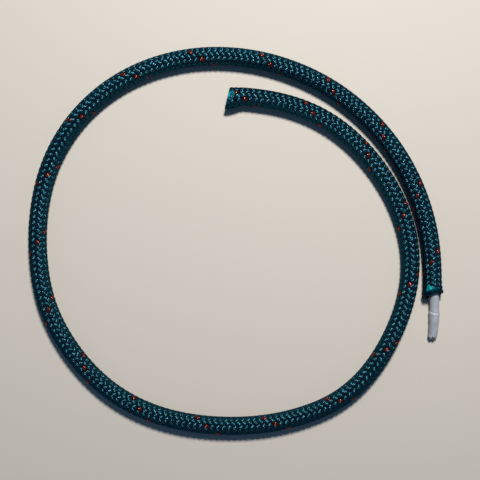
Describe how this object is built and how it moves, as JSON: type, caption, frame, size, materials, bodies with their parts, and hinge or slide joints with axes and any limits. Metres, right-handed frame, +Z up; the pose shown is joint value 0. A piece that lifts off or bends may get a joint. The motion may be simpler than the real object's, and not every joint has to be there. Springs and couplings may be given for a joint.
{
  "type": "dynamic climbing rope",
  "caption": "Length of braided kernmantle climbing rope lying in one open loop, fused shut at one end, with its taped core standing out of the sheath at the other.",
  "frame": {"origin": "on the ground, under the middle of the loop's box", "axes": "+Z up off the ground that the rope rests on; +X towards the side where the taped core end lies; +Y towards the side where the fused end lies"},
  "size_m": [0.2264, 0.2116, 0.0101],
  "materials": {
    "sheath_yarn": "teal braided nylon yarn with a silky sheen along its filaments",
    "tracer_yarn": "orange braided nylon yarn, the single tracer in the sheath",
    "core_yarn": "white twisted nylon strand",
    "tape": "satin white adhesive tape",
    "fused_nylon": "teal nylon melted by the cut and set hard"
  },
  "bodies": {
    "root": {"sheath": "sheath_yarn", "fused_end": "fused_nylon", "fused_rim": "fused_nylon", "inner_tape": "tape", "outer_tape": "tape", "core_strand_1": "core_yarn", "core_strand_2": "core_yarn", "core_strand_3": "core_yarn", "core_strand_4": "core_yarn", "core_strand_5": "core_yarn", "core_strand_6": "core_yarn", "core_strand_7": "core_yarn"}
  },
  "joints": []
}
